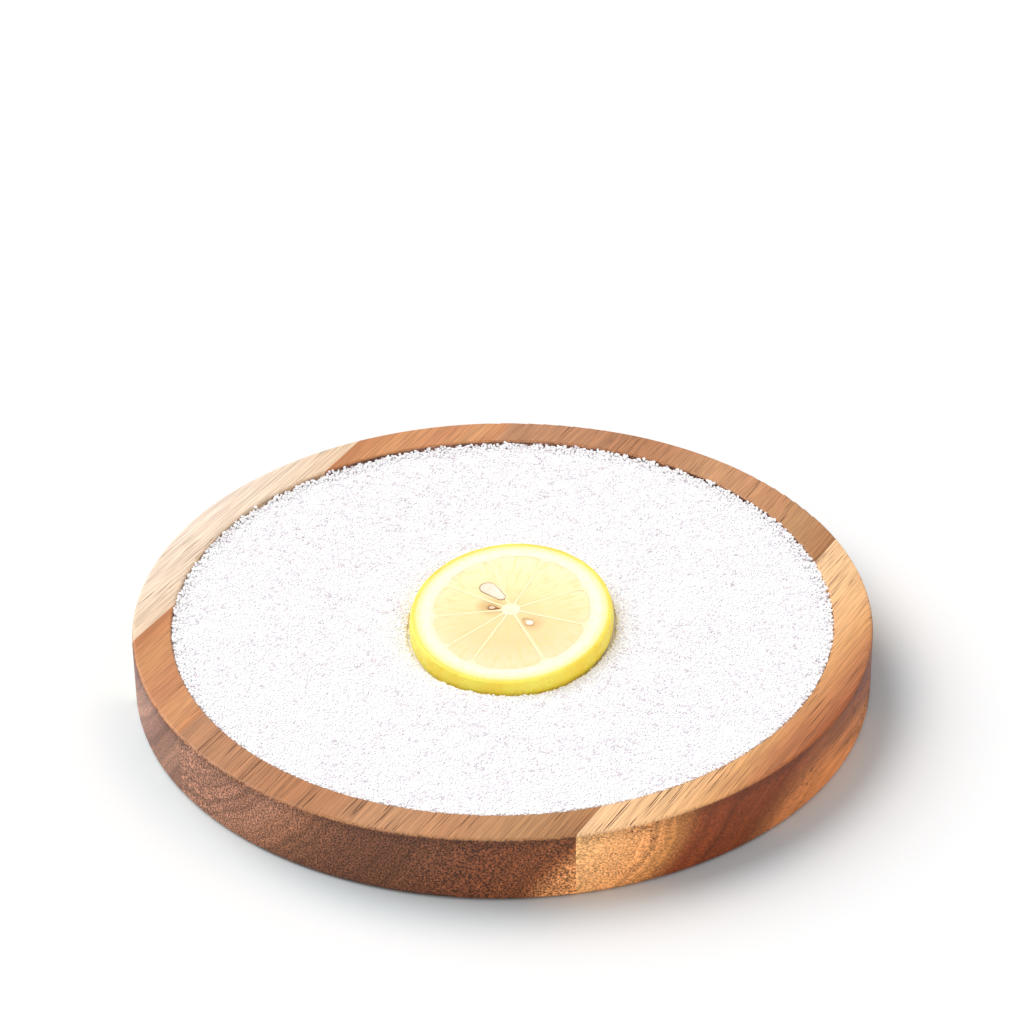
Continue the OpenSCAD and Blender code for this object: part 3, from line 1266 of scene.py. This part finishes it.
    def _from_front(
        self, graph: Graph, place: bpy.types.Node, fade: tuple[float, float], values: tuple[float, float]
    ) -> bpy.types.Node:
        """Blends one value at the front into another at the rear.

        Args:
            graph: The tree.
            place: The place of a point, in millimetres.
            fade: Where the blend starts and ends.
            values: The value at the front and at the rear.

        Returns:
            The blended value.
        """
        along = graph.add("ShaderNodeSeparateXYZ", {0: place}).outputs["Y"]
        ends = {"From Min": fade[0], "From Max": fade[1], "To Min": values[0], "To Max": values[1]}
        return graph.add("ShaderNodeMapRange", {"Value": along, **ends})

    def _sector(self, graph: Graph, part: int) -> bpy.types.Node:
        """Selects the points of one sector round the tray's axis.

        Args:
            graph: The tree.
            part: The sector.

        Returns:
            The selection.
        """
        place, _far = self._place(graph)
        parts = graph.add("ShaderNodeSeparateXYZ", {0: place})
        angle = graph.add(
            "ShaderNodeMath", {0: parts.outputs["Y"], 1: parts.outputs["X"]}, operation="ARCTAN2"
        )
        shares = {1: self.pieces / math.tau, 2: self.pieces / 2}
        share = graph.add("ShaderNodeMath", {0: angle, **shares}, operation="MULTIPLY_ADD")
        whole = graph.add("ShaderNodeMath", {0: share}, operation="FLOOR")
        return graph.add("ShaderNodeMath", {0: whole, 1: float(part), 2: 0.1}, operation="COMPARE")

    def _raised(self, graph: Graph, points: bpy.types.Node) -> bpy.types.Node:
        """Sets the points at their heights: rippled, heaped at the wall and pressed down under the slice.

        Args:
            graph: The tree.
            points: The node that strews the points.

        Returns:
            The node that gives the moved points.
        """
        place, far = self._place(graph)
        jump = graph.add(
            "FunctionNodeRandomValue", {2: -self.jump, 3: self.jump, "Seed": 7}, data_type="FLOAT"
        ).outputs[1]
        rippled = self._rippled(graph, place, jump)
        heaped = self._heaped(graph, place, far)
        height = graph.add("ShaderNodeMath", {0: rippled, 1: heaped}, operation="ADD")
        pressed = graph.add("ShaderNodeMath", {0: jump, 1: -self.print_depth}, operation="ADD")
        inside = self._under_slice(graph, place)
        chosen = graph.add(
            "GeometryNodeSwitch", {"Switch": inside, "False": height, "True": pressed}, input_type="FLOAT"
        )
        rise = graph.add("ShaderNodeMath", {0: chosen, 1: MM}, operation="MULTIPLY")
        lift = graph.add("ShaderNodeCombineXYZ", {"Z": rise})
        return graph.add("GeometryNodeSetPosition", {"Geometry": points, "Offset": lift})

    def _rippled(self, graph: Graph, place: bpy.types.Node, jump: bpy.types.NodeSocket) -> bpy.types.Node:
        """Measures the ripples that levelling leaves, which are rougher at the rear.

        Args:
            graph: The tree.
            place: The place of a point, in millimetres.
            jump: What is added to each point by chance.

        Returns:
            The height, in millimetres.
        """
        ripple = graph.add(
            "ShaderNodeTexNoise", {"Vector": place, "Scale": 1 / self.ripple_length, "Detail": 2.0}
        )
        reach = {"To Min": -self.ripple / 2, "To Max": self.ripple / 2}
        wave = graph.add("ShaderNodeMapRange", {"Value": ripple, "From Min": 0.3, "From Max": 0.7, **reach})
        rougher = self._from_front(graph, place, self.rear_fade, (1.0, self.rear_ripple))
        return graph.add("ShaderNodeMath", {0: wave, 1: rougher, 2: jump}, operation="MULTIPLY_ADD")

    def _heaped(self, graph: Graph, place: bpy.types.Node, far: bpy.types.NodeSocket) -> bpy.types.Node:
        """Measures the clumped heap along the wall, which is low at the front.

        Args:
            graph: The tree.
            place: The place of a point, in millimetres.
            far: Its distance from the tray's axis.

        Returns:
            The height, in millimetres.
        """
        band = {"From Min": self.wall_radius - self.wall_band, "From Max": self.wall_radius}
        near = graph.add("ShaderNodeMapRange", {"Value": far, **band})
        clumps = graph.add("ShaderNodeTexNoise", {"Vector": place, "Scale": 1 / self.clump, "Detail": 2.0})
        low, high = self.clump_levels
        steep = {"From Min": low, "From Max": high, "To Max": self.wall_heap}
        stacked = graph.add("ShaderNodeMapRange", {"Value": clumps, **steep})
        low, high = self.wall_loose
        loose = graph.add(
            "FunctionNodeRandomValue", {2: low, 3: high, "Seed": 8}, data_type="FLOAT"
        ).outputs[1]
        heap = graph.add("ShaderNodeMath", {0: stacked, 1: loose}, operation="ADD")
        rear = self._from_front(graph, place, self.wall_fade, (self.wall_front, 1.0))
        heaped = graph.add("ShaderNodeMath", {0: rear, 1: heap}, operation="MULTIPLY")
        return graph.add("ShaderNodeMath", {0: near, 1: heaped}, operation="MULTIPLY")

    def _under_slice(self, graph: Graph, place: bpy.types.Node) -> bpy.types.Node:
        """Tells whether a point lies in the dip under the slice.

        Args:
            graph: The tree.
            place: The place of a point, in millimetres.

        Returns:
            1 in the dip, or else 0.
        """
        middle, turn = (*self.slice_middle, 0.0), -math.radians(self.slice_turn)
        centred = graph.add("ShaderNodeVectorMath", {0: place, 1: middle}, operation="SUBTRACT")
        local = graph.add(
            "ShaderNodeVectorRotate", {"Vector": centred, "Angle": turn}, rotation_type="Z_AXIS"
        )
        share = (1 / self.slice_reach[0], 1 / self.slice_reach[1], 0.0)
        flat = graph.add("ShaderNodeVectorMath", {0: local, 1: share}, operation="MULTIPLY")
        reach = graph.add("ShaderNodeVectorMath", {0: flat}, operation="LENGTH").outputs["Value"]
        return graph.add("ShaderNodeMath", {0: reach, 1: 1.0}, operation="LESS_THAN")


@dataclass
class LemonSlice:
    """The lemon slice: peel, pith, nine segments of pulp and three seeds.

    Attributes:
        thickness: Thickness of the slice.
        tilt: Its slope towards the front, in degrees.
        turn: Its turn round Z, in degrees.
        reach: Half its width and half its length.
        core: Place of the core on the cut face.
        segments: How many segments it has.
        seeds: The finishes of its seeds.
        peel_voxel: Size of the peel's faces.
        peel_rounds: Rounds of smoothing that the peel gets.
        pulp_voxel: Size of the pulp's faces.
        gland_depth: Depth of the dimple at an oil gland.
        gland_spacing: Distance between two glands.
        sac_height: How far a juice sac stands above or sinks below the pulp.
        overlap: How far a segment grows into its membranes.
        level: How far the pulp rises to the cut face.
        bite: How far the peel grows into the pith.
        top_level: Slope above which a face of the pulp counts as cut, as the height of its normal.
        coat: Thickness of a seed's coat.
        hollow: How far a cut kernel lies below its coat.
        flat_angle: Angle under which two faces of a seed are one, in degrees.
        smooth_angle: Angle under which the edge between two faces is smooth, in degrees.
        level_match: How closely a seed's cut faces the way that the slice's cut does, at least.
    """

    thickness: float = 5.2
    tilt: float = 3.0
    turn: float = -11.0
    reach: tuple[float, float] = (26.9, 31.2)
    core: tuple[float, float] = (-0.2, 1.0)
    segments: int = 9
    seeds: tuple[SeedCoat, ...] = (
        SeedCoat("cut_seed", "#B98655", "#FBEEDB", "#F4E2C8"),
        SeedCoat("brown_seed", "#A66A34", "#E9C49A", "#F6E3C6"),
        SeedCoat("sunk_seed", "#EDB981", "#FFF8E8", "#FBEBD2"),
    )
    peel_voxel: float = 0.22
    peel_rounds: int = 4
    pulp_voxel: float = 0.2
    gland_depth: float = 0.12
    gland_spacing: float = 1.25
    sac_height: float = 0.03
    overlap: float = 0.2
    level: float = 0.12
    bite: float = 0.55
    top_level: float = 0.6
    coat: float = 0.14
    hollow: float = 0.05
    flat_angle: float = 0.5
    smooth_angle: float = 35.0
    level_match: float = 0.99

    def build(self) -> None:
        """Builds the slice's pieces."""
        self._peel()
        self._pith()
        self._pulp()
        self._seeds()

    def _top(self) -> Matrix:
        """Finds the cut face.

        Returns:
            The place of its middle, with the slice's own tilt.
        """
        low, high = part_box("lemon_pith")
        turn = Euler((math.radians(self.tilt), 0, 0)).to_matrix().to_4x4()
        middle = Matrix.Translation((low + high) / 2)
        return middle @ turn @ Matrix.Translation((0, 0, self.thickness * MM / 2))

    def _share(self) -> Share:
        """Gives the measure of places on the cut face."""
        return Share(self._top().translation, math.radians(self.turn), self.reach)

    def _core(self) -> Vector:
        """Gives the place of the core on the cut face."""
        return self._top() @ Vector((self.core[0] * MM, self.core[1] * MM, 0))

    def _seed_places(self) -> list[Vector]:
        """Gives the middle of each seed."""
        boxes = [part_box(f"lemon_seed_{i + 1}") for i in range(len(self.seeds))]
        return [(low + high) / 2 for low, high in boxes]

    def _peel(self) -> None:
        """Models the peel, with a dimple at each oil gland and its inner side grown into the pith."""
        piece = merged_copy("lemon_peel", "lemon_peel_skin")
        remesh(piece, self.peel_voxel, self.peel_rounds)
        graph, source, sink = geometry_graph("oil_glands")
        at = graph.add("GeometryNodeInputPosition")
        place = graph.add("ShaderNodeVectorMath", {0: at, "Scale": 1 / MM}, operation="SCALE")
        glands = graph.add(
            "ShaderNodeTexVoronoi", {"Vector": place, "Scale": 1 / self.gland_spacing}, feature="SMOOTH_F1"
        )
        dimple = {"From Min": 0.1, "From Max": 0.5, "To Min": -self.gland_depth * MM, "To Max": 0.0}
        depth = graph.add("ShaderNodeMapRange", {"Value": glands.outputs["Distance"], **dimple})
        facing = graph.add("GeometryNodeInputNormal")
        gap = graph.add("ShaderNodeVectorMath", {0: at, 1: self._top().translation}, operation="SUBTRACT")
        outward = graph.add(
            "ShaderNodeVectorMath", {0: facing, 1: gap}, operation="DOT_PRODUCT"
        ).outputs["Value"]
        half = self.reach[0] / 2 * MM
        inner = graph.add("ShaderNodeMath", {0: outward, 1: -half}, operation="LESS_THAN")
        outer = graph.add("ShaderNodeMath", {0: outward, 1: half}, operation="GREATER_THAN")
        wide = (self.bite * MM, self.bite * MM, 0)
        inward = graph.add("ShaderNodeVectorMath", {0: facing, 1: wide}, operation="MULTIPLY")
        grown = graph.add("ShaderNodeVectorMath", {0: inward, "Scale": inner.outputs[0]}, operation="SCALE")
        sunk = graph.add("ShaderNodeMath", {0: outer, 1: depth}, operation="MULTIPLY")
        dimpled = graph.add(
            "ShaderNodeVectorMath", {0: facing, "Scale": sunk.outputs[0]}, operation="SCALE"
        )
        push = graph.add("ShaderNodeVectorMath", {0: grown, 1: dimpled}, operation="ADD")
        graph.feed(sink, {0: graph.add("GeometryNodeSetPosition", {"Geometry": source, "Offset": push})})
        apply_graph(piece, graph)
        piece.data.materials.append(LemonZest().material(self._share()))
        settle(piece, Body.SLICE, Slot.PEEL, "lemon_peel")

    def _pith(self) -> None:
        """Dresses the pith, the membranes and the core, whose crisp cut edges the frame already has."""
        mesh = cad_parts["lemon_pith"].data
        mesh.materials.clear()
        mesh.materials.append(LemonPith().material(self._share()))

    def _pulp(self) -> None:
        """Models the segments, whose juice sacs stand up from the cut face."""
        core = self._core()
        finish = LemonPulp().material(core, self._seed_places()[1:])
        for i in range(1, self.segments + 1):
            piece = merged_copy(f"lemon_segment_{i}", f"lemon_pulp_{i}")
            remesh(piece, self.pulp_voxel)
            apply_graph(piece, self._sacs(core))
            piece.data.materials.append(finish)
            settle(piece, Body.SLICE, Slot.PULP, f"lemon_segment_{i}")

    def _sacs(self, core: Vector) -> Graph:
        """Grows a segment into its membranes and raises its juice sacs on the faces that look up.

        Args:
            core: The place of the slice's core, in metres.

        Returns:
            The geometry tree.
        """
        graph, source, sink = geometry_graph("juice_sacs")
        at = graph.add("GeometryNodeInputPosition")
        gap = graph.add("ShaderNodeVectorMath", {0: at, 1: core}, operation="SUBTRACT")
        place = graph.add("ShaderNodeVectorMath", {0: gap, "Scale": 1 / MM}, operation="SCALE")
        high, low = (self.level + self.sac_height) * MM, (self.level - self.sac_height) * MM
        domed = {"From Min": 0.0, "From Max": 0.7, "To Min": high, "To Max": low}
        height = graph.add("ShaderNodeMapRange", {"Value": sac_pattern(graph, place), **domed})
        facing = graph.add("GeometryNodeInputNormal")
        upward = graph.add("ShaderNodeSeparateXYZ", {0: facing}).outputs["Z"]
        on_top = graph.add("ShaderNodeMath", {0: upward, 1: self.top_level}, operation="GREATER_THAN")
        rise = graph.add("ShaderNodeMath", {0: height, 1: on_top}, operation="MULTIPLY")
        lift = graph.add("ShaderNodeCombineXYZ", {"Z": rise})
        wide = (self.overlap * MM, self.overlap * MM, 0)
        outward = graph.add("ShaderNodeVectorMath", {0: facing, 1: wide}, operation="MULTIPLY")
        push = graph.add("ShaderNodeVectorMath", {0: outward, 1: lift}, operation="ADD")
        graph.feed(sink, {0: graph.add("GeometryNodeSetPosition", {"Geometry": source, "Offset": push})})
        return graph

    def _seeds(self) -> None:
        """Models the seeds, with the kernel open to view where the knife cut through the coat."""
        for i, finish in enumerate(self.seeds, start=1):
            piece = merged_copy(f"lemon_seed_{i}", f"lemon_seed_body_{i}")
            bpy.ops.object.mode_set(mode="EDIT")
            bpy.ops.mesh.select_all(action="SELECT")
            bpy.ops.mesh.dissolve_limited(angle_limit=math.radians(self.flat_angle))
            bpy.ops.mesh.select_all(action="DESELECT")
            bpy.ops.object.mode_set(mode="OBJECT")
            piece.data.materials.append(finish.shell())
            piece.data.materials.append(finish.inside())
            self._open_kernel(piece)
            bpy.ops.object.shade_smooth_by_angle(angle=math.radians(self.smooth_angle))
            settle(piece, Body.SLICE, Slot.SEED, f"lemon_seed_{i}")

    def _open_kernel(self, piece: bpy.types.Object) -> None:
        """Insets a seed's largest face where it lies in the slice's cut face, and shows the kernel there.

        Args:
            piece: The seed, which is active, with its coat's and its kernel's materials.
        """
        up = self._top().to_3x3() @ Vector((0, 0, 1))
        cut = max(piece.data.polygons, key=lambda face: face.area)
        if cut.normal.dot(up) <= self.level_match:
            return
        cut.select = True
        bpy.ops.object.mode_set(mode="EDIT")
        bpy.ops.mesh.select_mode(type="FACE")
        bpy.ops.mesh.inset(thickness=self.coat * MM, depth=-self.hollow * MM)
        piece.active_material_index = 1
        bpy.ops.object.material_slot_assign()
        bpy.ops.object.mode_set(mode="OBJECT")


@dataclass(frozen=True)
class Lamp:
    """A far lamp.

    Attributes:
        name: Its name.
        energy: Its strength.
        angle: Its width, in degrees.
        source: The way that it shines from.
        flagged: Whether a flag keeps it off the floor.
    """

    name: str
    energy: float
    angle: float
    source: tuple[float, float, float]
    flagged: bool = False


@dataclass
class Studio:
    """The camera, the soft light, and the white floor that carries the shadow.

    Attributes:
        elevation: How steeply the camera looks down, in radians.
        distance: The camera's distance from its target.
        target: The point at the middle of the picture.
        roll: The camera's turn round its own axis, in radians.
        focal_pixels: Its focal length, in the picture's pixels.
        picture_width: The picture's width, in pixels.
        sensor: The sensor's width.
        clip: How far the camera sees.
        sky: Strength of the pale sky.
        lamps: The lamps.
        floor_size: Size of the floor.
        paper: Colour of the floor.
        painted_shadow_paper: Its colour beside the tray, darker and cooler: painted shadow, which also
            offsets the reddish light that the wood throws there.
        painted_shadow_reach: The distances from the tray's axis between which the one becomes the other.
    """

    elevation: float = 0.568683
    distance: float = 1000.0
    target: tuple[float, float, float] = (2.912, 50.602, 19.036)
    roll: float = -0.010951
    focal_pixels: float = 3535.66
    picture_width: float = 1024.0
    sensor: float = 36.0
    clip: float = 20000.0
    sky: float = 0.49
    lamps: tuple[Lamp, ...] = (
        Lamp("key", 2.4, 54.0, (-0.66, 0.44, 0.8)),
        Lamp("fill", 1.15, 60.0, (0.62, -0.74, 0.28), flagged=True),
    )
    floor_size: float = 6000.0
    paper: str = "#FFFFFF"
    painted_shadow_paper: str = "#ECF5F8"
    painted_shadow_reach: tuple[float, float] = (101.0, 120.0)

    def build(self) -> None:
        """Sets up the camera, the light and the floor."""
        bpy.context.scene.view_settings.view_transform = "Standard"
        self._camera()
        floor = self._floor()
        self._sky()
        for lamp in self.lamps:
            self._hang(lamp, floor)

    def _camera(self) -> None:
        """Sets the camera at the photograph's point of view."""
        data = bpy.data.cameras.new("photograph")
        data.sensor_width = self.sensor
        data.lens = self.focal_pixels * self.sensor / self.picture_width
        data.clip_end = self.clip * MM
        camera = bpy.data.objects.new("photograph", data)
        bpy.context.scene.collection.objects.link(camera)
        towards = Vector((0, math.cos(self.elevation), -math.sin(self.elevation)))
        target = Vector(self.target) * MM
        look = towards.to_track_quat("-Z", "Y").to_matrix().to_4x4()
        place = Matrix.Translation(target - towards * self.distance * MM)
        camera.matrix_world = place @ look @ Matrix.Rotation(self.roll, 4, "Z")
        bpy.context.scene.camera = camera

    def _sky(self) -> None:
        """Lights the object from all sides, with a white backdrop for camera, gloss and transmission."""
        world = bpy.data.worlds.new("studio")
        bpy.context.scene.world = world
        world.use_nodes = True
        world.node_tree.nodes.clear()
        graph = Graph(world.node_tree)
        path = graph.add("ShaderNodeLightPath").outputs
        seen = path["Is Camera Ray"]
        for ray in ("Is Glossy Ray", "Is Transmission Ray"):
            seen = graph.add("ShaderNodeMath", {0: seen, 1: path[ray]}, operation="MAXIMUM")
        strength = graph.add("ShaderNodeMapRange", {"Value": seen, "To Min": self.sky, "To Max": 1.0})
        sky = graph.add("ShaderNodeBackground", {"Color": (1, 1, 1, 1), "Strength": strength})
        graph.add("ShaderNodeOutputWorld", {"Surface": sky})

    def _hang(self, lamp: Lamp, floor: bpy.types.Object) -> None:
        """Hangs a lamp.

        Args:
            lamp: The lamp.
            floor: The floor, which a flag may keep out of its light.
        """
        data = bpy.data.lights.new(lamp.name, "SUN")
        data.energy, data.angle = lamp.energy, math.radians(lamp.angle)
        sun = bpy.data.objects.new(lamp.name, data)
        bpy.context.scene.collection.objects.link(sun)
        sun.rotation_euler = (-Vector(lamp.source)).to_track_quat("-Z", "Y").to_euler()
        if lamp.flagged:
            flag = bpy.data.collections.new(f"{lamp.name}_flag")
            flag.objects.link(floor)
            flag.collection_objects[0].light_linking.link_state = "EXCLUDE"
            sun.light_linking.receiver_collection = flag

    def _floor(self) -> bpy.types.Object:
        """Lays a white floor for the shadow, with painted shadow by the tray: darker and cooler there,
        against the reddish light that the wood throws.

        Returns:
            The floor.
        """
        deselect()
        bpy.ops.mesh.primitive_plane_add(size=self.floor_size * MM)
        floor = bpy.context.object
        floor.name = "floor"
        material = bpy.data.materials.new("white_sweep")
        material.use_nodes = True
        material.node_tree.nodes.clear()
        graph = Graph(material.node_tree)
        # Painted shadow: the paper turns darker and cooler beside the tray.
        far = graph.add(
            "ShaderNodeVectorMath", {0: in_millimetres(graph)}, operation="LENGTH"
        ).outputs["Value"]
        near = graph.add(
            "ShaderNodeMapRange",
            {"Value": far, "From Min": self.painted_shadow_reach[1], "From Max": self.painted_shadow_reach[0]},
            interpolation_type="SMOOTHSTEP",
        )
        papers = {"Color1": linear(self.paper), "Color2": linear(self.painted_shadow_paper)}
        colour = graph.add("ShaderNodeMixRGB", {"Fac": near, **papers})
        paper = graph.add("ShaderNodeBsdfDiffuse", {"Color": colour})
        graph.add("ShaderNodeOutputMaterial", {"Surface": paper})
        floor.data.materials.append(material)
        return floor


def main() -> None:
    """Builds the scene."""
    logging.basicConfig(level=logging.INFO, format="%(name)s: %(message)s")
    Studio().build()
    Tray().build()
    SaltBed().build()
    LemonSlice().build()
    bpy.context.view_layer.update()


if __name__ == "__main__":
    main()
